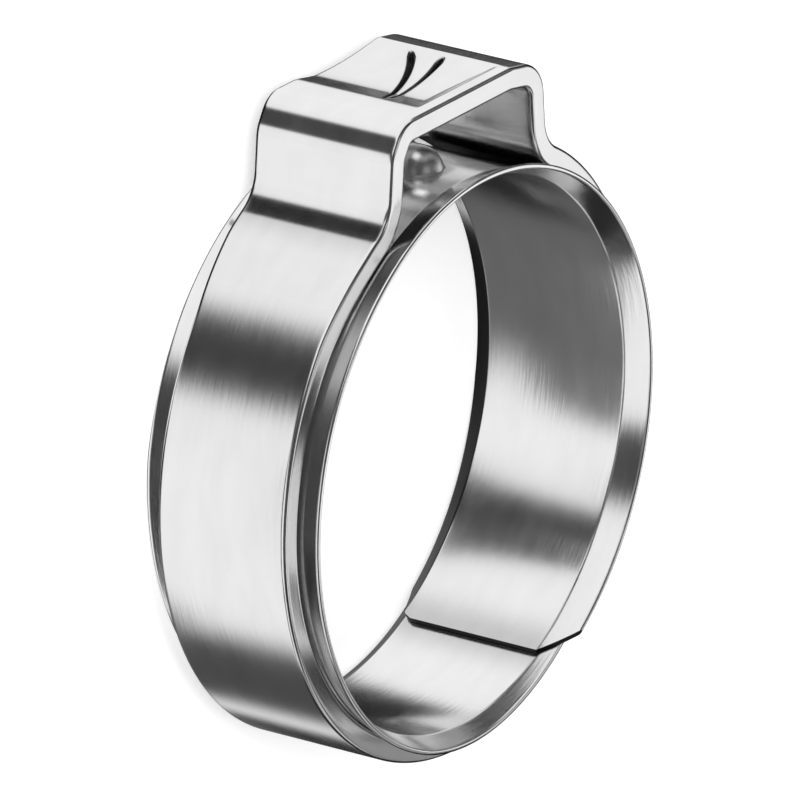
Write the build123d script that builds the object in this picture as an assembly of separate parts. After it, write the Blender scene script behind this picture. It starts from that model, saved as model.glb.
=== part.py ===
"""Ear hose clamp with an inner ring, in millimetres.

The ring lies flat: its axis is +Z, the ear points along +Y, and the origin is the bore's centre,
halfway through the width. Angles run from +X towards +Y. There are two pieces:

ear_band    an endless steel band, with a tall flat-topped ear folded out of it
inner_ring  a thin strip rolled into a ring inside the band, with flared lips and overlapping ends
"""
from build123d import *
from math import atan2, cos, degrees, hypot, radians, sin, sqrt, tan
import os

# The hose and the two sheets.
BORE_RADIUS = 13.0          # of the inner ring where its ends overlap, for a 26 mm hose
STRIP_THICKNESS = 0.25
LAYER_GAP = 0.03            # between the strip's overlapping layers
BAND_THICKNESS = 1.1
BAND_WIDTH = 7.0
BAND_PLAY = 0.01            # between the ring and the band

# The ear's outer face. Each side leans out from its half-width at the top to that at the foot height.
EAR_TOP = 17.65             # height of the flat top above the axis
EAR_HALF_TOP = 6.1
EAR_HALF_FOOT = 6.7
EAR_FOOT_HEIGHT = 10.0      # inside the band's circle
LEFT_FACET_DIRECTION = 148.0    # the left corner is bent in two steps, with a narrow facet between them
LEFT_FACET_DISTANCE = 13.85     # of the facet from the axis
LEFT_BEND_RADIUS = 1.5
CREST_X = 3.55              # where the top starts to fall towards the right corner
CREST_RADIUS = 1.3
RIGHT_FALL = 10.0           # degrees
RIGHT_BEND_RADIUS = 1.9
FOOT_BEND_RADIUS = 2.0
BAND_EDGE_RADIUS = 0.2      # of the slit edges

# The band gets a little wider towards the ear, between these two heights.
WIDENING = (9.0, 12.0)
WIDER_FRONT = 0.2
WIDER_BACK = 0.35
WIDENING_BEND_RADIUS = 12.0

# The dish that is pressed into the ear's top, from its left end to its right end along X.
DISH_LEFT = -3.1
DISH_LEFT_SLOPE = 0.2       # of the short steep side that the dish has there
DISH_FLOOR_LEFT = -4.5      # where the floor's arc would come up to the top's level again
DISH_RIGHT = CREST_X
DISH_DEPTH = 0.32
DISH_FRONT = 2.95           # where the dish ends, short of the front edge
DISH_FRONT_SLOPE = 0.65     # length of its sloping front end
CREASE_RADII = (0.08, 0.2)  # of the round nose that sinks a crease in the dish, start and end
CREASE_DEPTHS = (0.06, 0.24)
CREASE_STATIONS = 8         # how often a crease's height is taken from the floor
CREASES = (                 # start, middle and end of each crease, as (x, z) on the ear's top
    ((-2.75, 0.85), (0.43, -0.09), (3.0, -1.5)),
    ((-2.45, 1.05), (0.4, 0.72), (3.1, 0.18)),
)

# The inner ring's section: a shallow channel with lips that flare outwards. Creases and reaches are
# heights off the middle. The back lips are cut along a plane that leans, so they thin out opposite the ear.
FRONT_CREASE = 3.65
BACK_CREASE = 3.85
FRONT_REACH = 4.9
BACK_REACH = 4.8
BACK_CUT_DIRECTION = 80.0   # degrees
BACK_CUT_SLOPE = 0.046
LIP_FLARE = 21.0            # degrees
LIP_BEND_RADIUS = 0.2

# The inner ring's course, in degrees. Its inner end is seen; its outer end is hidden beneath.
TONGUE_END = -64.0
STEP_START = 60.0           # the strip steps out from the inner layer to the outer one here
STEP_END = 120.0
HIDDEN_END = 405.0
TONGUE_LIP_END = -55.0      # the tongue's lips are cut back on the slant to this angle
LIP_TAPER_START = 250.0     # the outer layer's front lip gets narrower from here to the hidden end
LIP_TAPER_DIRECTION = 365.0
LIP_TAPER = 0.055           # fall per millimetre along that direction

# The bump that is pressed outwards in the ring under the ear.
BUMP_RADIUS = 1.0           # of the hollow side
BUMP_HEIGHT = 1.0
BUMP_Z = 0.85

OUTER_LAYER_RADIUS = BORE_RADIUS + STRIP_THICKNESS + LAYER_GAP
BAND_INNER_RADIUS = OUTER_LAYER_RADIUS + STRIP_THICKNESS + BAND_PLAY
BAND_OUTER_RADIUS = BAND_INNER_RADIUS + BAND_THICKNESS
CLEAR = 1.0                 # how far a cutter runs past what it cuts


def on_circle(radius, angle):
    """A point in the ring's plane."""
    return Vector(radius * cos(radians(angle)), radius * sin(radians(angle)), 0)


def crossing(first_direction, first_distance, second_direction, second_distance):
    """Where two lines cross, each given by its normal's direction and its distance from the axis."""
    first, second = on_circle(1, first_direction), on_circle(1, second_direction)
    both = first.X * second.Y - first.Y * second.X
    return Vector(
        (first_distance * second.Y - second_distance * first.Y) / both,
        (second_distance * first.X - first_distance * second.X) / both,
    )


def ear_corners():
    """The corners of the ear's outer outline from the left side to the right, each with its radius."""
    lean = degrees(atan2(EAR_HALF_FOOT - EAR_HALF_TOP, EAR_TOP - EAR_FOOT_HEIGHT))
    side_distance = on_circle(1, lean).dot(Vector(EAR_HALF_TOP, EAR_TOP))
    crest = Vector(CREST_X, EAR_TOP)
    fall = 90 - RIGHT_FALL
    return [
        (crossing(LEFT_FACET_DIRECTION, LEFT_FACET_DISTANCE, 180 - lean, side_distance), LEFT_BEND_RADIUS),
        (crossing(LEFT_FACET_DIRECTION, LEFT_FACET_DISTANCE, 90, EAR_TOP), LEFT_BEND_RADIUS),
        (crest, CREST_RADIUS),
        (crossing(fall, on_circle(1, fall).dot(crest), lean, side_distance), RIGHT_BEND_RADIUS),
    ]


def band_profile():
    """The band's section across the axis: one sheet thickness inside the rounded outer outline."""
    corners = ear_corners()
    foot_corners = [Vector(-EAR_HALF_FOOT, EAR_FOOT_HEIGHT), Vector(EAR_HALF_FOOT, EAR_FOOT_HEIGHT)]
    ear = make_face(Polyline(foot_corners[0], *(corner for corner, radius in corners), foot_corners[1],
                             close=True))
    outline = Circle(BAND_OUTER_RADIUS) + ear
    for corner, radius in corners:
        outline = fillet(outline.vertices().sort_by_distance(corner)[0], radius)
    ear_feet = [v for v in outline.vertices()
                if abs(hypot(v.X, v.Y) - BAND_OUTER_RADIUS) < 0.001 and v.Y > EAR_FOOT_HEIGHT]
    outline = fillet(ear_feet, FOOT_BEND_RADIUS)
    return outline - offset(outline, -BAND_THICKNESS)


def band_envelope():
    """What the band fills as seen along X: it gets wider towards the ear on both sides."""
    start, end = WIDENING
    top, bottom = EAR_TOP + CLEAR, -BAND_OUTER_RADIUS - CLEAR
    front, back = BAND_WIDTH / 2, -BAND_WIDTH / 2
    outline = Polygon(
        (bottom, front), (start, front), (end, front + WIDER_FRONT), (top, front + WIDER_FRONT),
        (top, back - WIDER_BACK), (end, back - WIDER_BACK), (start, back), (bottom, back),
        align=None,
    )
    bends = [v for v in outline.vertices() if bottom < v.X < top]
    side = Plane.YZ * fillet(bends, WIDENING_BEND_RADIUS)
    return extrude(side, BAND_OUTER_RADIUS + CLEAR, both=True)


def is_slit_edge(edge):
    """Whether an edge of the plain band runs along one of its two slit sides."""
    start, end = WIDENING
    place = edge @ 0.5
    across = abs(edge.tangent_at(0.5).X) > 0.999 and start - CLEAR < place.Y < end + CLEAR
    on_side = abs(place.Z) > BAND_WIDTH / 2 - 0.001
    return on_side and not across


def dish_hollow():
    """What is pressed out of the ear's top: a shallow trough along Z with a sloping front end."""
    half = (DISH_RIGHT - DISH_FLOOR_LEFT) / 2
    middle = DISH_FLOOR_LEFT + half
    back = -BAND_WIDTH / 2 - WIDER_BACK - CLEAR
    floor = EAR_TOP - DISH_DEPTH
    across = make_face(
        ThreePointArc((DISH_FLOOR_LEFT, EAR_TOP), (middle, floor), (DISH_RIGHT, EAR_TOP))
        + Polyline((DISH_RIGHT, EAR_TOP), (DISH_RIGHT, EAR_TOP + CLEAR),
                   (DISH_FLOOR_LEFT, EAR_TOP + CLEAR), (DISH_FLOOR_LEFT, EAR_TOP))
    )
    run = CLEAR / DISH_LEFT_SLOPE
    left_side = Polygon(
        (DISH_LEFT - run, EAR_TOP + CLEAR),
        (DISH_LEFT + run, EAR_TOP - CLEAR),
        (DISH_RIGHT, EAR_TOP - CLEAR),
        (DISH_RIGHT, EAR_TOP + CLEAR),
        align=None,
    )
    trough = Pos(0, 0, back) * extrude(across & left_side, DISH_FRONT + CLEAR - back)
    side = Plane.YZ * Polygon(
        (floor - CLEAR, back),
        (EAR_TOP + CLEAR, back),
        (EAR_TOP + CLEAR, DISH_FRONT + DISH_FRONT_SLOPE * CLEAR / DISH_DEPTH),
        (floor - CLEAR, DISH_FRONT - DISH_FRONT_SLOPE * (1 + CLEAR / DISH_DEPTH)),
        align=None,
    )
    return trough & extrude(side, EAR_TOP, both=True)


def dish_floor(x):
    """Height of the dish's floor at x."""
    half = (DISH_RIGHT - DISH_FLOOR_LEFT) / 2
    radius = (half ** 2 + DISH_DEPTH ** 2) / (2 * DISH_DEPTH)
    from_middle = x - DISH_FLOOR_LEFT - half
    arc_depth = DISH_DEPTH - radius + sqrt(radius ** 2 - from_middle ** 2)
    return EAR_TOP - min(arc_depth, (x - DISH_LEFT) * DISH_LEFT_SLOPE)


def crease_cutter(points):
    """A round-nosed cutter that follows the dish's floor, and widens and deepens on its way."""
    plan = ThreePointArc(*points)
    first_lift, last_lift = (radius - depth for radius, depth in zip(CREASE_RADII, CREASE_DEPTHS))
    stations = []
    for step in range(CREASE_STATIONS + 1):
        share = step / CREASE_STATIONS
        place = plan @ share
        lift = first_lift + share * (last_lift - first_lift)
        stations.append((place.X, dish_floor(place.X) + lift, place.Y))
    path = Spline(*stations)
    noses = [Plane(path @ end, z_dir=path % end) * Circle(radius)
             for end, radius in enumerate(CREASE_RADII)]
    return sweep(noses, path, multisection=True)


def ear_band():
    wide = BAND_WIDTH / 2 + max(WIDER_FRONT, WIDER_BACK)
    envelope = band_envelope()
    band = extrude(band_profile(), wide, both=True) & envelope
    slit_edges = [edge for edge in band.edges() if is_slit_edge(edge)]
    band = fillet(slit_edges, BAND_EDGE_RADIUS)
    dish = dish_hollow()
    inside_band = Box(2 * EAR_HALF_FOOT, EAR_TOP, 2 * wide, align=(Align.CENTER, Align.MIN, Align.CENTER))
    band = band - dish + (Pos(0, -BAND_THICKNESS, 0) * dish & envelope & inside_band)
    for points in CREASES:
        band -= crease_cutter(points)
    return band


def strip_section(radius):
    """The strip's section in the XZ plane, with its hose side at the given radius."""
    flare = radians(LIP_FLARE)
    hose_side = [
        (radius + (BACK_REACH - BACK_CREASE) * tan(flare), -BACK_REACH),
        (radius, -BACK_CREASE),
        (radius, FRONT_CREASE),
        (radius + (FRONT_REACH - FRONT_CREASE) * tan(flare), FRONT_REACH),
    ]
    edge_shift = (STRIP_THICKNESS * cos(flare), STRIP_THICKNESS * sin(flare))
    crease_shift = STRIP_THICKNESS * tan(flare / 2)
    band_side = [
        (hose_side[0][0] + edge_shift[0], -BACK_REACH + edge_shift[1]),
        (radius + STRIP_THICKNESS, -BACK_CREASE + crease_shift),
        (radius + STRIP_THICKNESS, FRONT_CREASE - crease_shift),
        (hose_side[3][0] + edge_shift[0], FRONT_REACH - edge_shift[1]),
    ]
    outline = (
        FilletPolyline(*hose_side, radius=LIP_BEND_RADIUS + STRIP_THICKNESS)
        + Line(hose_side[-1], band_side[-1])
        + FilletPolyline(*band_side, radius=LIP_BEND_RADIUS)
        + Line(band_side[0], hose_side[0])
    )
    return Plane.XZ * make_face(outline)


def strip_run(centre, radius, start, end):
    """A run of the strip round an axis through centre, from one angle to another."""
    section = Pos(*centre) * (Rot(0, 0, start) * strip_section(radius))
    return revolve(section, Axis(centre, (0, 0, 1)), end - start)


def step_offset():
    """How far the step's two arcs have their centres from the ring's axis.

    The first centre lies this far behind the axis and the second this far before it, each on its
    own arc's first or last radius. The arcs touch where the distance between the centres, which is
    2 * offset * cos(turn / 2), equals the difference of their radii, 2 * offset - shift.
    """
    shift = OUTER_LAYER_RADIUS - BORE_RADIUS
    turn = radians(STEP_END - STEP_START)
    return shift / (2 * (1 - cos(turn / 2)))


def step_runs():
    """The two arcs that carry the strip from the inner layer to the outer one, under the ear."""
    away = step_offset()
    half_way = (STEP_START + STEP_END) / 2
    return [
        strip_run(on_circle(-away, STEP_START), BORE_RADIUS + away, STEP_START, half_way),
        strip_run(on_circle(away, STEP_END), OUTER_LAYER_RADIUS - away, half_way, STEP_END),
    ]


def tongue():
    """The inner layer, with the corners of its lips cut off on the slant at its end."""
    run = strip_run(Vector(0, 0, 0), BORE_RADIUS, TONGUE_END, STEP_START)
    cut_back = BORE_RADIUS * radians(TONGUE_LIP_END - TONGUE_END)
    # The cutter's plane stands across the radius: its X runs along the ring, its Y along the axis.
    outwards = on_circle(1, TONGUE_END)
    along = on_circle(1, TONGUE_END + 90)
    face = Plane(on_circle(BORE_RADIUS - CLEAR, TONGUE_END), x_dir=along, z_dir=outwards)
    for side, crease, reach in ((1, FRONT_CREASE, FRONT_REACH), (-1, BACK_CREASE, BACK_REACH)):
        slant = Polygon((-CLEAR, crease), (0, crease), (cut_back, reach), (cut_back, reach + CLEAR),
                        (-CLEAR, reach + CLEAR), align=None)
        corner = slant if side * face.y_dir.Z > 0 else mirror(slant, Plane.XZ)
        run -= extrude(face * corner, 3 * CLEAR)
    return run


def tapered_outer_layer():
    """The outer layer's last part, whose front lip gets narrower towards its hidden end."""
    run = strip_run(Vector(0, 0, 0), OUTER_LAYER_RADIUS, LIP_TAPER_START, HIDDEN_END)
    start = on_circle(OUTER_LAYER_RADIUS, LIP_TAPER_START)
    towards = on_circle(LIP_TAPER, LIP_TAPER_DIRECTION)
    cut = Plane(start + Vector(0, 0, FRONT_REACH), z_dir=towards + Vector(0, 0, 1))
    return split(run, cut, keep=Keep.BOTTOM)


def with_back_cut(ring):
    """Cut the back lips along the leaning plane."""
    towards = on_circle(BACK_CUT_SLOPE, BACK_CUT_DIRECTION)
    cut = Plane((0, 0, -BACK_REACH), z_dir=Vector(-towards.X, -towards.Y, -1))
    return split(ring, cut, keep=Keep.BOTTOM)


def with_bump(ring):
    """Press the round bump outwards through the strip, under the middle of the ear."""
    turn = radians(STEP_END - STEP_START)
    away = step_offset()
    strip_height = BORE_RADIUS + away - away * cos(turn / 2)
    centre = Pos(0, strip_height + BUMP_HEIGHT - BUMP_RADIUS, BUMP_Z)
    hollow = centre * Sphere(BUMP_RADIUS)
    within_strip = Cylinder(strip_height + STRIP_THICKNESS / 2, 2 * FRONT_REACH)
    dome = centre * Sphere(BUMP_RADIUS + STRIP_THICKNESS) - hollow - within_strip
    return ring - hollow + dome


def inner_ring():
    around = strip_run(Vector(0, 0, 0), OUTER_LAYER_RADIUS, STEP_END, LIP_TAPER_START)
    ring = tongue()
    for run in (*step_runs(), around, tapered_outer_layer()):
        ring += run
    return with_bump(with_back_cut(ring))


os.makedirs("parts", exist_ok=True)
for name, piece in (("ear_band", ear_band()), ("inner_ring", inner_ring())):
    export_step(piece, f"parts/{name}.step")
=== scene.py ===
"""The ear hose clamp's looks: its two pieces of sheet steel, a white studio and the camera.

Lengths are in millimetres until a mesh is made, and angles are in degrees from +X towards +Y. The ring's
axis is +Z and the ear points along +Y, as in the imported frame.
"""
import math

import bpy
import numpy as np
from mathutils import Matrix, Vector


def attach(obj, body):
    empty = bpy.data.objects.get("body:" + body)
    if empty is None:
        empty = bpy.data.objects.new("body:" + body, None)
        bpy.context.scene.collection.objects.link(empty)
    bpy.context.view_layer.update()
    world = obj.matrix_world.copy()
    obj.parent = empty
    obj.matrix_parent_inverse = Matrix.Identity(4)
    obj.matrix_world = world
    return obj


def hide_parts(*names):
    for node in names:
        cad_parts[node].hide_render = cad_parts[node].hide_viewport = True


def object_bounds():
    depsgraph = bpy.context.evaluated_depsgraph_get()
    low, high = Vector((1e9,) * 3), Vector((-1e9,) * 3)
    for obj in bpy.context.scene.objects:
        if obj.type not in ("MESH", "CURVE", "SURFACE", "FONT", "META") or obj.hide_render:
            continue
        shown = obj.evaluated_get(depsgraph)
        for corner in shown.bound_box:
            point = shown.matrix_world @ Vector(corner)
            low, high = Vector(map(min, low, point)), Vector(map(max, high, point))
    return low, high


MM = 0.001
TINY = 0.001                # a length too small to matter, in millimetres

# The two sheets and the circles that they follow.
BORE_RADIUS = 13.0
STRIP_THICKNESS = 0.25
LAYER_SHIFT = 0.28          # from the strip's inner layer to its outer one
BAND_THICKNESS = 1.1
BAND_WIDTH = 7.0
BAND_OUTER_RADIUS = 14.64
BAND_EDGE_RADIUS = 0.2
WIDENING = (9.0, 12.0)      # the heights between which the band gets wider towards the ear
WIDER_FRONT = 0.2
WIDER_BACK = 0.35

# The ear's outer face. Each side leans out from its half-width at the top to that at the foot height.
EAR_TOP = 17.65
EAR_HALF_TOP = 6.1
EAR_HALF_FOOT = 6.7
EAR_FOOT_HEIGHT = 10.0
LEFT_FACET_DIRECTION = 148.0    # the left corner is bent in two steps, with a narrow facet between them
LEFT_FACET_DISTANCE = 13.85     # from the bore's axis
LEFT_BEND_RADIUS = 1.5
CREST_X = 3.55                  # where the top starts to fall towards the right corner
CREST_RADIUS = 1.3
RIGHT_FALL = 10.0
RIGHT_BEND_RADIUS = 1.9
FOOT_BEND_RADIUS = 2.0

# The dish pressed into the ear's top.
DISH_LEFT = -3.1
DISH_LEFT_SLOPE = 0.2           # of the short steep side that the dish has there
DISH_FLOOR_LEFT = -4.5          # where the floor's arc would come up to the top's level again
DISH_RIGHT = CREST_X
DISH_DEPTH = 0.32
DISH_FRONT = 2.95
DISH_FRONT_SLOPE = 0.65
DISH_FOLD_SOFTNESS = 0.03

# The two creases in the dish. Each is its (x, z) at start, middle and end, its half-width at the wide end,
# and how late it widens: a higher power keeps it narrow for longer.
CREASES = (
    (((-2.75, 0.85), (0.43, -0.09), (3.0, -1.5)), 0.19, 0.8),
    (((-2.45, 1.05), (0.4, 0.72), (3.1, 0.18)), 0.2, 3.0),
)
CREASE_NARROW = 0.06            # its half-width at the narrow end
CREASE_STEEPNESS = 1.5          # depth by half-width
CREASE_TAPER = 0.12             # the share of its length in which a crease narrows to its end
CREASE_SHADE_DEPTH = 0.05        # painted shade: deeper than this, a crease is painted fully near-black

# The strip's channel section. The lips start at the creases and end at the reaches. The back lips are cut
# along a plane that leans, so they are narrower opposite the ear.
FRONT_CREASE = 3.65
BACK_CREASE = 3.85
FRONT_REACH = 4.9
BACK_REACH = 4.8
BACK_CUT_DIRECTION = 80.0
BACK_CUT_SLOPE = 0.046
LIP_FLARE = 21.0
LIP_BEND_RADIUS = 0.2
LIP_EDGE_RADIUS = 0.1
MIN_LIP = 0.12                  # a lip is never shorter than this

# The strip's course: from the tongue on the hose side, over the step under the ear to the outer layer, and
# round to the end that is hidden behind the first layer, where the front lip gets narrower.
TONGUE_END = -64.0
TONGUE_LIP_END = -55.0          # the lips' corners are cut off between the two
TONGUE_SLANT = 25.0             # how far from the tongue's end the rows of the mesh lean with that cut
STEP_START = 60.0
STEP_MIDDLE = 90.0
STEP_END = 120.0
HIDDEN_END = 405.0
LIP_TAPER_START = 250.0
LIP_TAPER_DIRECTION = 365.0
LIP_TAPER = 0.055

# The bump pressed out of the strip under the ear, and the dull finish round it.
BUMP_RADIUS = 1.0               # of its hollow
BUMP_HEIGHT = 1.0
BUMP_Z = 0.85
DULL_CENTRE = (0, 13.6, BUMP_Z)
DULL_RADIUS = 1.7
DULL_ROUGHNESS = 0.22           # more than elsewhere
PAINTED_SHADE_COLOUR = (0.03, 0.03, 0.03, 1)   # painted shade: the near-black painted into the creases and onto the cut ends
PAINTED_SHADE_ROUGHNESS = 0.15          # more than elsewhere

# The camera: a very long lens, so that parallel edges stay nearly parallel.
CAMERA_RISE = 21.36         # above the ring's axis, towards the ear
CAMERA_TURN = 56.01         # off the ring's axis
CAMERA_DISTANCE = 830.0
PICTURE_SIZE = 800          # pixels
PIXELS_PER_MM = 21.8
ORIGIN_PIXEL = (401.7, 435.85)
SENSOR = 36.0

# The light, at strengths where 1 is white.
STUDIO_LIGHT = 1.08         # what metal mirrors
PLAIN_LIGHT = 0.75          # what lights the floor
FLOOR_REACH = 2.0           # metres
FLOOR_COLOUR = (0.8, 0.8, 0.8, 1)
FLOOR_GLOW = 0.4            # for the camera alone, so that the floor is white outside the shadow
LAMP_PLACE = (500, 60, 40)  # back, up and right of the clamp as the camera sees it
LAMP_SIZE = 0.35            # metres
LAMP_POWER = 2.2            # watts


def direction(degrees):
    """Unit vectors in the ring's plane."""
    angle = np.radians(degrees)
    return np.stack([np.cos(angle), np.sin(angle)], -1)


def smooth_max(a, b, softness):
    """The larger of two values, with the corner between them rounded."""
    return 0.5 * (a + b + np.sqrt((a - b) ** 2 + softness ** 2))


def smooth_min(a, b, softness):
    """The smaller of two values, with the corner between them rounded."""
    return -smooth_max(-a, -b, softness)


# Courses: the lines that the sheets follow, as rows of points and rows of outward normals.

def arc_run(centre, radius, start, end, spacing, hollow=False):
    """An arc, given by the angles of its normals. A hollow one has its centre on the outside."""
    count = max(2, math.ceil(radius * math.radians(abs(end - start)) / spacing))
    normals = direction(np.linspace(start, end, count, endpoint=False))
    side = -1 if hollow else 1
    return np.asarray(centre) + side * radius * normals, normals


def line_run(start, end, spacing):
    """A straight run, with the outside on its right."""
    start, end = np.asarray(start), np.asarray(end)
    length = np.linalg.norm(end - start)
    count = max(2, math.ceil(length / spacing))
    along = (end - start) / length
    points = start + np.linspace(0, 1, count, endpoint=False)[:, None] * (end - start)
    return points, np.tile((along[1], -along[0]), (count, 1))


def join_runs(*runs):
    """One course out of several runs."""
    return np.concatenate([run[0] for run in runs]), np.concatenate([run[1] for run in runs])


def round_corners(start, corners, end, spacing, line_spacings):
    """Straight runs from start to end with an arc at each (corner, radius), all turning left."""
    runs = []
    here = np.asarray(start, float)
    points = [np.asarray(corner, float) for corner, radius in corners] + [np.asarray(end, float)]
    for number, (corner, radius) in enumerate(corners):
        corner = points[number]
        arriving = (corner - here) / np.linalg.norm(corner - here)
        leaving = (points[number + 1] - corner) / np.linalg.norm(points[number + 1] - corner)
        turn = math.acos(np.clip(arriving @ leaving, -1, 1))
        reach = radius * math.tan(turn / 2)
        first = corner - reach * arriving
        normal = np.array([arriving[1], -arriving[0]])
        facing = math.degrees(math.atan2(normal[1], normal[0]))
        runs.append(line_run(here, first, line_spacings[number]))
        runs.append(arc_run(first - radius * normal, radius, facing, facing + math.degrees(turn),
                            spacing))
        here = corner + reach * leaving
    runs.append(line_run(here, points[-1], line_spacings[-1]))
    return runs


def meet(first_normal, first_distance, second_normal, second_distance):
    """Where two lines cross, each given by its unit normal and its distance from the origin."""
    return np.linalg.solve(np.array([first_normal, second_normal]), [first_distance, second_distance])


def band_course():
    """The band's outer outline, counter-clockwise from the middle of the ear's top."""
    lean = math.degrees(math.atan2(EAR_HALF_FOOT - EAR_HALF_TOP, EAR_TOP - EAR_FOOT_HEIGHT))
    right_normal = direction(lean)
    left_normal = direction(180 - lean)
    leg_distance = right_normal @ (EAR_HALF_TOP, EAR_TOP)
    facet_normal = direction(LEFT_FACET_DIRECTION)
    top_left = meet((0, 1), EAR_TOP, facet_normal, LEFT_FACET_DISTANCE)
    side_left = meet(facet_normal, LEFT_FACET_DISTANCE, left_normal, leg_distance)
    crest = np.array([CREST_X, EAR_TOP])
    fall_normal = direction(90 - RIGHT_FALL)
    top_right = meet(fall_normal, fall_normal @ crest, right_normal, leg_distance)
    foot_reach = BAND_OUTER_RADIUS + FOOT_BEND_RADIUS
    foot_distance = leg_distance + FOOT_BEND_RADIUS
    foot = (right_normal * foot_distance
            + direction(lean + 90) * math.sqrt(foot_reach ** 2 - foot_distance ** 2))
    foot_angle = math.degrees(math.atan2(foot[1], foot[0]))
    leg_foot = foot - FOOT_BEND_RADIUS * right_normal
    flip = np.array([-1, 1])
    top_middle = (0, EAR_TOP)
    fine, medium, coarse = 0.055, 0.1, 0.45
    left_bends = [(top_left, LEFT_BEND_RADIUS), (side_left, LEFT_BEND_RADIUS)]
    right_bends = [(top_right, RIGHT_BEND_RADIUS), (crest, CREST_RADIUS)]
    return join_runs(
        *round_corners(top_middle, left_bends, leg_foot * flip, medium, (fine, medium, coarse)),
        arc_run(foot * flip, FOOT_BEND_RADIUS, 180 - lean, 180 - foot_angle, medium, hollow=True),
        arc_run((0, 0), BAND_OUTER_RADIUS, 180 - foot_angle, 360 + foot_angle, coarse),
        arc_run(foot, FOOT_BEND_RADIUS, foot_angle, lean, medium, hollow=True),
        *round_corners(leg_foot, right_bends, top_middle, medium, (coarse, medium, fine)),
    )


def strip_course(start_angles):
    """The strip's hose side from each start angle to the hidden end: one column for each start.

    Gives points, normals and the angle round the ring that each point would have without the step.
    """
    half_turn = math.radians(STEP_END - STEP_START) / 2
    away = LAYER_SHIFT / (2 * (1 - math.cos(half_turn)))
    fine_start, fine_end = 82, 98       # the bump lies between these angles
    skew_end = TONGUE_END + TONGUE_SLANT
    rows = np.unique(np.concatenate([
        np.linspace(TONGUE_END, fine_start, 90),
        np.linspace(fine_start, fine_end, 60),
        np.linspace(fine_end, HIDDEN_END, 170),
    ]))
    skew = np.clip((skew_end - rows) / (skew_end - TONGUE_END), 0, 1)
    angles = rows[:, None] + skew[:, None] * (start_angles - TONGUE_END)[None, :]
    normals = direction(angles)
    inner = BORE_RADIUS * normals
    first = -away * direction(STEP_START) + (BORE_RADIUS + away) * normals
    second = away * direction(STEP_END) + (BORE_RADIUS + LAYER_SHIFT - away) * normals
    outer = (BORE_RADIUS + LAYER_SHIFT) * normals
    where = angles[..., None]
    points = np.select([where < STEP_START, where < STEP_MIDDLE, where < STEP_END],
                       [inner, first, second], outer)
    return points, normals, angles


# Pressed forms: how deep the sheet is sunk at a place.

def dish_depth(x, z):
    """A shallow trough along the ear's width that runs out at the back edge."""
    half = (DISH_RIGHT - DISH_FLOOR_LEFT) / 2
    radius = (half ** 2 + DISH_DEPTH ** 2) / (2 * DISH_DEPTH)
    from_middle = np.clip(x - DISH_FLOOR_LEFT - half, -radius, radius)
    trough = np.sqrt(radius ** 2 - from_middle ** 2) - radius + DISH_DEPTH
    left = (x - DISH_LEFT) * DISH_LEFT_SLOPE
    front = (DISH_FRONT - z) * DISH_DEPTH / DISH_FRONT_SLOPE
    sides = smooth_min(left, front, DISH_FOLD_SOFTNESS)
    return smooth_max(smooth_min(trough, sides, DISH_FOLD_SOFTNESS), 0, DISH_FOLD_SOFTNESS)


def crease_depth(x, z, course, widest, power):
    """A V-shaped groove along a smooth curve through three points, which widens and ends in a taper."""
    start, middle, end = np.array(course)
    steps = np.linspace(0, 1, 161)
    bend = 2 * middle - (start + end) / 2
    curve = (np.outer((1 - steps) ** 2, start) + np.outer(2 * steps * (1 - steps), bend)
             + np.outer(steps ** 2, end))
    gaps = np.hypot(x[..., None] - curve[:, 0], z[..., None] - curve[:, 1])
    progress = steps[gaps.argmin(-1)]
    half_width = CREASE_NARROW + (widest - CREASE_NARROW) * progress ** power
    half_width = half_width * np.sqrt(np.clip((1.02 - progress) / CREASE_TAPER, 0, 1))
    return CREASE_STEEPNESS * smooth_max(half_width - gaps.min(-1), 0, 0.02)


def push_bump(across, z, radius):
    """Where a sheet's points go as a sphere is pressed out of it: shares to keep, and the rise.

    The points inside the sphere's foot are spread evenly over its cap, so its sides stay smooth.
    """
    foot_angle = math.acos((radius - BUMP_HEIGHT) / radius)
    foot = radius * np.sin(foot_angle)
    off = np.hypot(across, z - BUMP_Z)
    angle = foot_angle * np.clip(off / foot, 0, 1)
    spread = np.where(off < foot, radius * np.sin(angle) / np.maximum(off, TINY), 1)
    rise = radius * (np.cos(angle) - math.cos(foot_angle))
    return spread, rise


# Meshes

SHARP_FROM = 50             # degrees between two faces, from which the edge between them is drawn sharp


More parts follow.
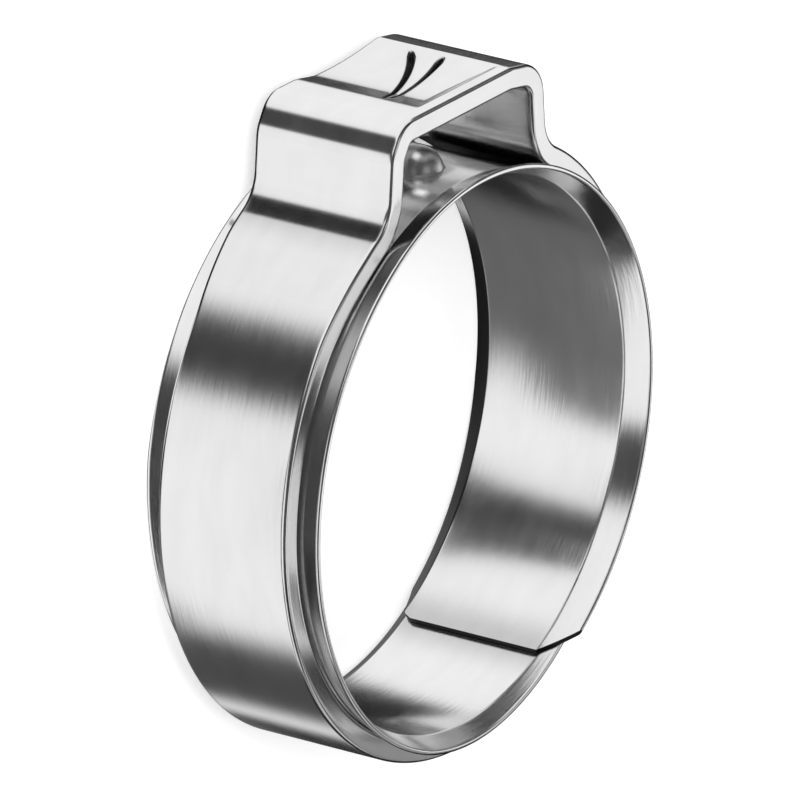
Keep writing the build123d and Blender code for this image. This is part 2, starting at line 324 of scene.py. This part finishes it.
def sheet_mesh(name, grid, along, across, closed):
    """A tube of quads: each row of the grid is one section of the sheet, all the way round it.

    Its UV map "sheet_mm" holds the place along and across the sheet in millimetres. The last faces of an
    open sheet are its two cut ends. Gives the piece and the number of those faces.
    """
    rows, columns = grid.shape[:2]
    row = np.arange(rows if closed else rows - 1)[:, None]
    column = np.arange(columns)[None, :]
    next_row, next_column = (row + 1) % rows, (column + 1) % columns
    quads = np.stack(np.broadcast_arrays(
        row * columns + column, row * columns + next_column,
        next_row * columns + next_column, next_row * columns + column), -1).reshape(-1, 4)
    u = np.stack(np.broadcast_arrays(along[row], along[row], along[row + 1], along[row + 1]), -1)
    v_low, v_high = across[column], across[column + 1]
    v = np.stack(np.broadcast_arrays(v_low, v_high, v_high, v_low), -1)
    shape = (len(row), columns, 4)
    uv = np.stack([np.broadcast_to(u, shape), np.broadcast_to(v, shape)], -1).reshape(-1, 2)
    cut_faces = 0
    if not closed:
        caps, cap_uv = end_caps(rows, columns, along, across)
        quads = np.concatenate([quads, caps])
        uv = np.concatenate([uv, cap_uv])
        cut_faces = len(caps)
    mesh = bpy.data.meshes.new(name)
    mesh.from_pydata((grid.reshape(-1, 3) * MM).tolist(), [], quads.tolist())
    layer = mesh.uv_layers.new(name="sheet_mm")
    layer.uv.foreach_set("vector", uv.astype(np.float32).ravel())
    mesh.shade_smooth()
    mesh.set_sharp_from_angle(angle=math.radians(SHARP_FROM))
    mesh.validate()
    mesh.update()
    piece = bpy.data.objects.new(name, mesh)
    bpy.context.collection.objects.link(piece)
    weighted = piece.modifiers.new("even_shading", "WEIGHTED_NORMAL")
    weighted.keep_sharp = True
    return piece, cut_faces


def darken(piece, domain, amount):
    """Say how much painted shade covers each point or face, from 0 to 1."""
    painted_shade = piece.data.attributes.new("painted_shade", "FLOAT", domain)
    painted_shade.data.foreach_set("value", amount.ravel().astype(np.float32))


def end_caps(rows, columns, along, across):
    """Close both ends of an open sheet, with quads from one face to the other."""
    half = np.arange(columns // 2 - 1)
    across_sheet = np.stack([half, half + 1, columns - 2 - half, columns - 1 - half], -1)
    last = (rows - 1) * columns + across_sheet[:, ::-1]
    v = across[across_sheet]
    u_first = np.full_like(v, along[0]) + (across_sheet >= columns // 2) * STRIP_THICKNESS
    u_last = np.full_like(v, along[rows - 1]) + (across_sheet >= columns // 2) * STRIP_THICKNESS
    v_folded = np.where(across_sheet >= columns // 2, across[columns - 1 - across_sheet], v)
    first_uv = np.stack([u_first, v_folded], -1)
    last_uv = np.stack([u_last, v_folded], -1)[:, ::-1]
    return np.concatenate([across_sheet, last]), np.concatenate([first_uv, last_uv]).reshape(-1, 2)


def running_length(points):
    """Length along a closed or open line of points, with one entry more than there are points."""
    steps = np.linalg.norm(np.roll(points, -1, axis=0) - points, axis=-1)
    return np.concatenate([[0], np.cumsum(steps)])


def corner_arc(centre, radius, start, end, count):
    """Points of a small rounding in a section."""
    return np.asarray(centre) + radius * direction(np.linspace(start, end, count))


def band_section():
    """The band's section as (depth below the outer face, z), from one edge round to itself."""
    half = BAND_WIDTH / 2
    inset = half - BAND_EDGE_RADIUS
    deep = BAND_THICKNESS - BAND_EDGE_RADIUS
    radius = BAND_EDGE_RADIUS
    face_z = np.linspace(-inset, inset, 128)[1:-1]
    outer_face = np.stack([np.zeros_like(face_z), face_z], -1)
    inner_z = np.linspace(inset, -inset, 28)[1:-1]
    inner_face = np.stack([np.full_like(inner_z, BAND_THICKNESS), inner_z], -1)
    edge_depth = np.linspace(radius, deep, 7)[1:-1]
    front_edge = np.stack([edge_depth, np.full_like(edge_depth, half)], -1)
    back_edge = np.stack([edge_depth[::-1], np.full_like(edge_depth, -half)], -1)
    return np.concatenate([
        outer_face,
        corner_arc((radius, inset), radius, 180, 90, 6),
        front_edge,
        corner_arc((deep, inset), radius, 90, 0, 6),
        inner_face,
        corner_arc((deep, -inset), radius, 0, -90, 6),
        back_edge,
        corner_arc((radius, -inset), radius, -90, -180, 6),
    ])


def make_band():
    points, normals = band_course()
    section = band_section()
    depth = np.broadcast_to(section[:, 0], (len(points), len(section)))
    widening = np.interp(points[:, 1:], WIDENING, (0, 1))
    wider = np.where(section[:, 1] > 0, WIDER_FRONT, WIDER_BACK) * widening
    z = section[:, 1] * (1 + wider * 2 / BAND_WIDTH)
    x = np.broadcast_to(points[:, :1], depth.shape)
    at_top = points[:, 1] > EAR_TOP - 0.05
    on_top = at_top & (normals[:, 1] > 0.5) & (points[:, 0] < CREST_X)
    sunk = np.zeros(depth.shape)
    sunk[on_top] = dish_depth(x[on_top], z[on_top])
    outer = (depth < TINY) & on_top[:, None]
    creased = np.zeros(depth.shape)
    for course, widest, power in CREASES:
        creased[outer] += crease_depth(x[outer], z[outer], course, widest, power)
    sunk += creased
    flat = points[:, None, :] - (depth + sunk)[..., None] * normals[:, None, :]
    grid = np.concatenate([flat, z[..., None]], -1)
    band, _ = sheet_mesh("clamp_band", grid, running_length(points), running_length(section), True)
    # painted shade in the creases, fuller where they are deeper
    darken(band, "POINT", np.clip(creased / CREASE_SHADE_DEPTH, 0, 1))
    return band


def strip_half_section(crease, reach):
    """The upper half of the strip's hose side, as (rise off the bore, z) and its band-side normal."""
    bend = LIP_BEND_RADIUS + STRIP_THICKNESS
    bend_z = crease - bend * math.tan(math.radians(LIP_FLARE / 2))
    turn = np.radians(np.linspace(0, LIP_FLARE, 8))
    bend_points = np.stack([bend - bend * np.cos(turn), bend_z + bend * np.sin(turn)], -1)
    lip_end = np.array([math.sin(turn[-1]), math.cos(turn[-1])])
    lip_length = (reach - bend_points[-1, 1]) / lip_end[1] - LIP_EDGE_RADIUS
    steps = np.linspace(0, lip_length, 12)[1:, None]
    points = np.concatenate([bend_points, bend_points[-1] + steps * lip_end])
    turns = np.concatenate([turn, np.full(len(steps), turn[-1])])
    return points, np.stack([np.cos(turns), -np.sin(turns)], -1)


def lip_edge(last, through):
    """Points round the edge of a lip, from its hose side to its band side."""
    outwards = np.array([-through[1], through[0]])
    radius = LIP_EDGE_RADIUS
    turn = np.radians([0, 22.5, 45, 67.5, 90])[:, None]
    first = last + radius * (through + np.sin(turn) * outwards - np.cos(turn) * through)
    second = (last + (STRIP_THICKNESS - radius) * through
              + radius * (np.sin(turn[::-1]) * outwards + np.cos(turn[::-1]) * through))
    return np.concatenate([first[1:], second[:-1]])


def strip_section():
    """The strip's section as (rise, z), from the middle of its back edge round to itself."""
    flip = np.array([1, -1])
    front, front_normals = strip_half_section(FRONT_CREASE, FRONT_REACH)
    back, back_normals = strip_half_section(BACK_CREASE, BACK_REACH)
    near_bump = 1.9
    flat_z = np.unique(np.concatenate([
        np.linspace(-back[0, 1], BUMP_Z - near_bump, 8),
        np.linspace(BUMP_Z - near_bump, BUMP_Z + near_bump, 52),
        np.linspace(BUMP_Z + near_bump, front[0, 1], 8),
    ]))[1:-1]
    flat = np.stack([np.zeros_like(flat_z), flat_z], -1)
    hose = np.concatenate([back[::-1] * flip, flat, front])
    normals = np.concatenate([
        back_normals[::-1] * flip, np.tile((1.0, 0.0), (len(flat), 1)), front_normals])
    band = (hose + STRIP_THICKNESS * normals)[::-1]
    front_edge = lip_edge(front[-1], front_normals[-1])
    back_edge = lip_edge(back[-1], back_normals[-1])[::-1] * flip
    half = len(back_edge) // 2
    section = np.concatenate([back_edge[half:], hose, front_edge, band, back_edge[:half]])
    on_band_side = np.arange(len(section)) >= len(section) // 2
    return section, on_band_side


def lip_reaches(points, tapered):
    """How far the front and back lips reach at each place of the strip's course."""
    towards = direction(LIP_TAPER_DIRECTION)
    start = (BORE_RADIUS + LAYER_SHIFT) * direction(LIP_TAPER_START) @ towards
    front = FRONT_REACH - np.where(tapered, LIP_TAPER * (points @ towards - start), 0)
    back = BACK_REACH + BACK_CUT_SLOPE * points @ direction(BACK_CUT_DIRECTION)
    return front, np.minimum(back, BACK_REACH)


def shorten_lips(points, tapered, rise, z):
    """Each lip point slides back along the lip's slope, by its share of what the edge does."""
    in_front = z > 0
    front, back = lip_reaches(points, tapered)
    reach = np.where(in_front, front, back)
    full_reach = np.where(in_front, FRONT_REACH, BACK_REACH)
    lip_start = np.where(in_front, FRONT_CREASE, BACK_CREASE) + MIN_LIP
    scale = np.clip((reach - lip_start) / (full_reach - lip_start), 0.05, 1)
    slide = np.maximum(np.abs(z) - lip_start, 0) * (1 - scale)
    return rise - slide * math.tan(math.radians(LIP_FLARE)), np.sign(z) * (np.abs(z) - slide)


def press_out_bump(points, normals, near, rises, heights, on_band_side):
    """Press the bump out of the sheet near the ear's middle, with the sheet's thickness kept."""
    far_off = BAND_WIDTH
    tangents = np.stack([normals[..., 1], -normals[..., 0]], -1)
    across = np.where(near, points[..., 0], far_off)
    for side, radius in ((~on_band_side, BUMP_RADIUS), (on_band_side, BUMP_RADIUS + STRIP_THICKNESS)):
        spread, bump = push_bump(across, heights, radius)
        spread, bump = np.where(side, spread, 1), np.where(side, bump, 0)
        points = points + (across * (spread - 1))[..., None] * tangents
        heights = np.where(side, BUMP_Z + (heights - BUMP_Z) * spread, heights)
        rises = rises + bump
    return points, rises, heights


def make_strip():
    section, on_band_side = strip_section()
    rise, z = section[:, 0], section[:, 1]
    slant = np.clip((np.abs(z) - FRONT_CREASE) / (FRONT_REACH - FRONT_CREASE), 0, 1)
    start_angles = TONGUE_END + slant * (TONGUE_LIP_END - TONGUE_END)
    points, normals, angles = strip_course(start_angles)
    rises, heights = shorten_lips(points, angles > LIP_TAPER_START, rise, z)
    on_step = (angles > STEP_START) & (angles < STEP_END)
    points, rises, heights = press_out_bump(points, normals, on_step, rises, heights, on_band_side)
    flat = points + rises[..., None] * normals
    grid = np.concatenate([flat, heights[..., None]], -1)
    middle = points[:, len(section) // 4]
    strip, cut_faces = sheet_mesh("inner_strip", grid, running_length(middle), running_length(section),
                                  False)
    faces = len(strip.data.polygons)
    # painted shade on the strip's cut ends
    darken(strip, "FACE", np.arange(faces) >= faces - cut_faces)
    return strip


# Materials

class Nodes:
    """Makes and links shader nodes with less writing."""

    def __init__(self, tree):
        self.tree = tree
        tree.nodes.clear()

    def add(self, kind, **values):
        """A node whose sockets and settings are given by name; a socket as a value takes a link."""
        node = self.tree.nodes.new(kind)
        for key, value in values.items():
            socket = None
            if key.startswith("in_"):
                name = key[3:].replace("_", " ")
                socket = node.inputs[int(name)] if name.isdigit() else node.inputs[name]
            if socket is None:
                setattr(node, key, value)
            elif isinstance(value, bpy.types.NodeSocket):
                self.tree.links.new(value, socket)
            else:
                socket.default_value = value
        return node

    def math(self, operation, *values):
        node = self.add("ShaderNodeMath", operation=operation)
        for place, value in enumerate(values):
            if isinstance(value, bpy.types.NodeSocket):
                self.tree.links.new(value, node.inputs[place])
            else:
                node.inputs[place].default_value = value
        return node.outputs[0]

    def ramp(self, factor, stops):
        """Grey levels by position from 0 to 1."""
        node = self.add("ShaderNodeValToRGB", in_Fac=factor)
        elements = node.color_ramp.elements
        while len(elements) > 1:
            elements.remove(elements[-1])
        for number, (position, level) in enumerate(stops):
            element = elements[0] if number == 0 else elements.new(position)
            element.position = position
            element.color = (level, level, level, 1)
        return node.outputs["Color"]

    def stretched(self, coordinates, along, across):
        """Coordinates scaled along and across the sheet, for noise that is longer one way."""
        mapping = self.add("ShaderNodeMapping", in_Vector=coordinates, in_Scale=(along, across, 1.0))
        return mapping.outputs[0]

    def cover(self, distance, half, soft):
        """1 within half of nought, falling smoothly to 0 over the soft edge."""
        node = self.add("ShaderNodeMapRange", interpolation_type="SMOOTHSTEP",
                        in_Value=self.math("ABSOLUTE", distance),
                        in_From_Min=half - soft / 2, in_From_Max=half + soft / 2,
                        in_To_Min=1.0, in_To_Max=0.0)
        return node.outputs[0]

    def noise(self, coordinates, scale, detail=2.0, roughness=0.5):
        node = self.add("ShaderNodeTexNoise", in_Vector=coordinates, in_Scale=scale,
                        in_Detail=detail, in_Roughness=roughness)
        return node.outputs["Fac"]


def rolled_steel(name, brightness, roughness, streak, dull_at_bump=False):
    """Bright rolled sheet: fine lines along the sheet, soft mottling and a slight waviness.

    It is painted near-black as shade where the piece's shade attribute says so, and duller round the bump.
    """
    material = bpy.data.materials.new(name)
    material.use_nodes = True
    nodes = Nodes(material.node_tree)
    place = nodes.add("ShaderNodeUVMap", uv_map="sheet_mm").outputs["UV"]
    lines = nodes.noise(nodes.stretched(place, 0.12, 9.0), 1.0, 4.0, 0.6)
    drawn = nodes.noise(nodes.stretched(place, 0.5, 5.0), 1.0, 3.0)
    broad = nodes.noise(nodes.stretched(place, 0.35, 0.9), 1.0, 3.0)
    grain = nodes.noise(place, 14.0, 2.0)
    rough = nodes.math("MULTIPLY_ADD", lines, streak, roughness - streak / 2)
    rough = nodes.math("MULTIPLY_ADD", broad, 0.05, rough)
    if dull_at_bump:
        where = nodes.add("ShaderNodeTexCoord").outputs["Object"]
        centre = Vector(DULL_CENTRE) * MM
        off = nodes.add("ShaderNodeVectorMath", operation="DISTANCE", in_0=where, in_1=centre)
        near = nodes.cover(off.outputs["Value"], DULL_RADIUS * MM, DULL_RADIUS * MM * 0.3)
        rough = nodes.math("MULTIPLY_ADD", near, DULL_ROUGHNESS, rough)
    # painted shade: near-black and rougher in the creases and on the cut ends
    painted_shade = nodes.add("ShaderNodeAttribute", attribute_name="painted_shade").outputs["Fac"]
    rough = nodes.math("MULTIPLY_ADD", painted_shade, PAINTED_SHADE_ROUGHNESS, rough)
    clean = nodes.ramp(broad, [(0.3, 0.94 * brightness), (0.7, brightness)])
    mix = nodes.add("ShaderNodeMix", data_type="RGBA", in_0=painted_shade, in_6=clean, in_7=PAINTED_SHADE_COLOUR)
    height = nodes.math("MULTIPLY_ADD", lines, 0.0012, nodes.math("MULTIPLY", grain, 0.0006))
    height = nodes.math("MULTIPLY_ADD", drawn, 0.003, height)
    height = nodes.math("MULTIPLY_ADD", broad, 0.004, height)
    bump = nodes.add("ShaderNodeBump", in_Height=height, in_Strength=1.0, in_Distance=MM)
    shader = nodes.add("ShaderNodeBsdfPrincipled", in_Metallic=1.0, in_Roughness=rough,
                       in_Normal=bump.outputs[0], in_Base_Color=mix.outputs[2])
    nodes.add("ShaderNodeOutputMaterial", in_Surface=shader.outputs[0])
    return material


# Studio

SQUARE = ((-1, -1), (1, -1), (1, 1), (-1, 1))


def make_floor():
    """A white floor, seen white wherever it isn't in shadow. Metal sees past it to the studio."""
    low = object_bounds()[0][2]
    mesh = bpy.data.meshes.new("floor")
    corners = [(x * FLOOR_REACH, y * FLOOR_REACH, low) for x, y in SQUARE]
    mesh.from_pydata(corners, [], [(0, 1, 2, 3)])
    floor = bpy.data.objects.new("floor", mesh)
    bpy.context.collection.objects.link(floor)
    floor.visible_glossy = False
    material = bpy.data.materials.new("white_floor")
    material.use_nodes = True
    nodes = Nodes(material.node_tree)
    seen = nodes.add("ShaderNodeLightPath").outputs["Is Camera Ray"]
    matt = nodes.add("ShaderNodeBsdfDiffuse", in_Color=FLOOR_COLOUR)
    glow = nodes.add("ShaderNodeEmission", in_Strength=nodes.math("MULTIPLY", seen, FLOOR_GLOW))
    both = nodes.add("ShaderNodeAddShader", in_0=matt.outputs[0], in_1=glow.outputs[0])
    nodes.add("ShaderNodeOutputMaterial", in_Surface=both.outputs[0])
    mesh.materials.append(material)


# Dark screens in the white studio, which only reflections show, as the photographer of polished metal
# hangs them. Each is (compass direction, half-width, soft edge, lean, height, half-height, soft edge,
# light let through), with angles in degrees. The lean is how far its middle moves per degree of height.
SCREENS = {
    "beside_clamp": (141.5, 15, 10, 0.55, -31, 49, 8, 0.04),
    "beyond_foot": (80, 9, 18, 0, -31, 20, 8, 0.62),
    "under_clamp": (271, 22, 16, 0, -35, 12, 8, 0.07),
    "to_the_right": (290, 44, 10, 0, -6, 20, 6, 0.03),
    "behind_clamp": (338.5, 35.5, 10, 0, -21, 39, 6, 0.02),
    "beyond_ear": (14, 32, 10, 0, -1, 18, 6, 0.03),
    "below": (180, 400, 10, 0, -70, 24, 8, 0.01),
    "high_left": (142, 130, 8, 0, 38, 19, 8, 0.03),
    "high_middle": (286, 12, 6, 0, 38, 19, 8, 0.5),
    "high_right": (309, 12, 6, 0, 38, 19, 8, 0.03),
    "overhead_back": (55, 50, 56, 0, 75, 18, 8, 0.04),
    "overhead_front": (255, 20, 8, 0, 73, 22, 8, 0.01),
    "overhead_left": (184, 52, 10, 0, 75, 18, 8, 0.05),
}

# Cards near the clamp, dark or bright, which only reflections show, in millimetres. Each is (middle,
# half-length, half-width, direction of its length in degrees, stands upright, soft edge, brightness), and
# the soft edge is a share of the half-size.
CARDS = {
    "left_fence": ((-28.6, -14, -2.3), 24, 2.2, 90, True, 0.3, 0.01),
    "far_left_fence": ((-40, -36, 0.2), 19, 3, 90, True, 0.3, 0.01),
    "under_bore": ((-3.5, -13.1, -13), 20, 11.5, 172, False, 0.35, 0.15),
    "under_bottom": ((18, -7.8, -13.1), 12, 7, 29, False, 0.5, 0.02),
    "above_bump": ((-0.63, 14.85, 1.2), 0.42, 0.42, 0, True, 0.5, 1.2),
    "inside_dark": ((-2.2, 9.6, -13), 12, 2.6, 123, False, 0.5, 0.05),
    "inside_light": ((-8.8, 2.9, -12.8), 13, 5, 140.5, False, 0.4, 1.08),
    "above_bottom": ((30, -36, 24.3), 24, 16, 0, False, 0.3, 0.3),
    "foot_line": ((-7.27, 13.6, -0.45), 0.2, 4.6, 0, True, 0.25, 0.0),
    "beside_foot": ((-11.4, 17.1, -3.8), 2.4, 5.5, 51, True, 0.3, 1.05),
    "above_corner": ((-4.4, 19, -1.2), 1.9, 5.2, 0, True, 0.2, 1.08),
    "before_lip": ((9.0, 7.4, 4.1), 2.9, 0.9, 137.5, True, 0.3, 0.02),
}


def make_card(name, middle, half_length, half_width, turned, upright, soft, brightness):
    along = np.append(direction(turned), 0)
    across = np.array([0, 0, 1]) if upright else np.append(direction(turned + 90), 0)
    shape = [(np.array(middle) + x * half_length * along + y * half_width * across) * MM
             for x, y in SQUARE]
    mesh = bpy.data.meshes.new(name)
    mesh.from_pydata(shape, [], [(0, 1, 2, 3)])
    mesh.uv_layers.new(name="card").uv.foreach_set("vector", np.ravel(SQUARE))
    card = bpy.data.objects.new(name, mesh)
    bpy.context.collection.objects.link(card)
    card.visible_camera = card.visible_diffuse = card.visible_shadow = False
    material = bpy.data.materials.new(name)
    material.use_nodes = True
    nodes = Nodes(material.node_tree)
    place = nodes.add("ShaderNodeUVMap", uv_map="card").outputs["UV"]
    off_middle = nodes.add("ShaderNodeSeparateXYZ", in_Vector=place).outputs
    solid = nodes.math("MULTIPLY", nodes.cover(off_middle["X"], 1 - soft / 2, soft),
                       nodes.cover(off_middle["Y"], 1 - soft / 2, soft))
    clear = nodes.add("ShaderNodeBsdfTransparent")
    face = nodes.add("ShaderNodeEmission", in_Strength=brightness)
    mixed = nodes.add("ShaderNodeMixShader", in_Fac=solid, in_1=clear.outputs[0],
                      in_2=face.outputs[0])
    nodes.add("ShaderNodeOutputMaterial", in_Surface=mixed.outputs[0])
    mesh.materials.append(material)


def make_world():
    """White to the camera, the studio with its screens to metal, and plain light to all else."""
    world = bpy.data.worlds.new("studio")
    world.use_nodes = True
    bpy.context.scene.world = world
    nodes = Nodes(world.node_tree)
    ray = nodes.add("ShaderNodeTexCoord").outputs["Generated"]
    axes = nodes.add("ShaderNodeSeparateXYZ", in_Vector=ray).outputs
    compass = nodes.math("DEGREES", nodes.math("ARCTAN2", axes["Y"], axes["X"]))
    height = nodes.math("DEGREES", nodes.math("ARCSINE", axes["Z"]))
    light = None
    for turn, half_turn, soft_turn, lean, rise, half_rise, soft_rise, level in SCREENS.values():
        above = nodes.math("SUBTRACT", height, rise)
        off = nodes.math("SUBTRACT", compass, nodes.math("MULTIPLY_ADD", above, lean, turn))
        off = nodes.math("WRAP", off, 180.0, -180.0)
        covered = nodes.math("MULTIPLY", nodes.cover(off, half_turn, soft_turn),
                             nodes.cover(above, half_rise, soft_rise))
        passed = nodes.math("MULTIPLY_ADD", covered, level - 1.0, 1.0)
        light = passed if light is None else nodes.math("MULTIPLY", light, passed)
    path = nodes.add("ShaderNodeLightPath")
    mirrored = nodes.add("ShaderNodeBackground", in_Color=(1, 1, 1, 1),
                         in_Strength=nodes.math("MULTIPLY", light, STUDIO_LIGHT))
    plain = nodes.add("ShaderNodeBackground", in_Color=(1, 1, 1, 1), in_Strength=PLAIN_LIGHT)
    white = nodes.add("ShaderNodeBackground", in_Color=(1, 1, 1, 1), in_Strength=1.0)
    unseen = nodes.add("ShaderNodeMixShader", in_Fac=path.outputs["Is Glossy Ray"],
                       in_1=plain.outputs[0], in_2=mirrored.outputs[0])
    shown = nodes.add("ShaderNodeMixShader", in_Fac=path.outputs["Is Camera Ray"],
                      in_1=unseen.outputs[0], in_2=white.outputs[0])
    nodes.add("ShaderNodeOutputWorld", in_Surface=shown.outputs[0])


def camera_axes():
    """The camera's right, up and back directions."""
    rise, turn = math.radians(CAMERA_RISE), math.radians(CAMERA_TURN)
    back = Vector((-math.cos(rise) * math.sin(turn), math.sin(rise), math.cos(rise) * math.cos(turn)))
    right = Vector((math.cos(turn), 0, math.sin(turn)))
    return right, back.cross(right), back


def make_camera():
    right, up, back = camera_axes()
    middle = PICTURE_SIZE / 2
    aim = (right * (middle - ORIGIN_PIXEL[0]) - up * (middle - ORIGIN_PIXEL[1])) / PIXELS_PER_MM
    data = bpy.data.cameras.new("camera")
    data.sensor_width = SENSOR
    data.lens = SENSOR * CAMERA_DISTANCE * PIXELS_PER_MM / PICTURE_SIZE
    data.clip_start = 0.01
    data.clip_end = 20
    camera = bpy.data.objects.new("camera", data)
    rotation = Matrix((right, up, back)).transposed().to_4x4()
    camera.matrix_world = Matrix.Translation((aim + back * CAMERA_DISTANCE) * MM) @ rotation
    bpy.context.collection.objects.link(camera)
    bpy.context.scene.camera = camera


def make_lamp():
    """One large soft lamp beside the camera, so that the shadow stays behind the clamp."""
    right, up, back = camera_axes()
    data = bpy.data.lights.new("soft_lamp", "AREA")
    data.shape = "DISK"
    data.size = LAMP_SIZE
    data.energy = LAMP_POWER
    lamp = bpy.data.objects.new("soft_lamp", data)
    place = (back * LAMP_PLACE[0] + up * LAMP_PLACE[1] + right * LAMP_PLACE[2]) * MM
    lamp.matrix_world = Matrix.Translation(place) @ place.to_track_quat("Z", "Y").to_matrix().to_4x4()
    lamp.visible_glossy = False
    bpy.context.collection.objects.link(lamp)


def finish_piece(piece, material, node):
    piece.data.materials.append(material)
    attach(piece, "root")
    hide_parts(node)


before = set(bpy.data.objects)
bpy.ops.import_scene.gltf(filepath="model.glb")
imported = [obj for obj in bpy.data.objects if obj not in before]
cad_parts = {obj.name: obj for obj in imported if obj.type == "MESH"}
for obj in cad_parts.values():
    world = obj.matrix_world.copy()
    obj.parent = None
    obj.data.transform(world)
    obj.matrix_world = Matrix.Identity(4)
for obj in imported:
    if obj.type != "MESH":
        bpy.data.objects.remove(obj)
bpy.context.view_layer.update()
finish_piece(make_band(), rolled_steel("band_steel", 0.8, 0.16, 0.05),
             "ear_band")
finish_piece(make_strip(), rolled_steel("strip_steel", 0.82, 0.14, 0.04, dull_at_bump=True),
             "inner_ring")
make_floor()
for name, card in CARDS.items():
    make_card(name, *card)
make_world()
make_camera()
make_lamp()
bpy.context.scene.view_settings.view_transform = "Standard"
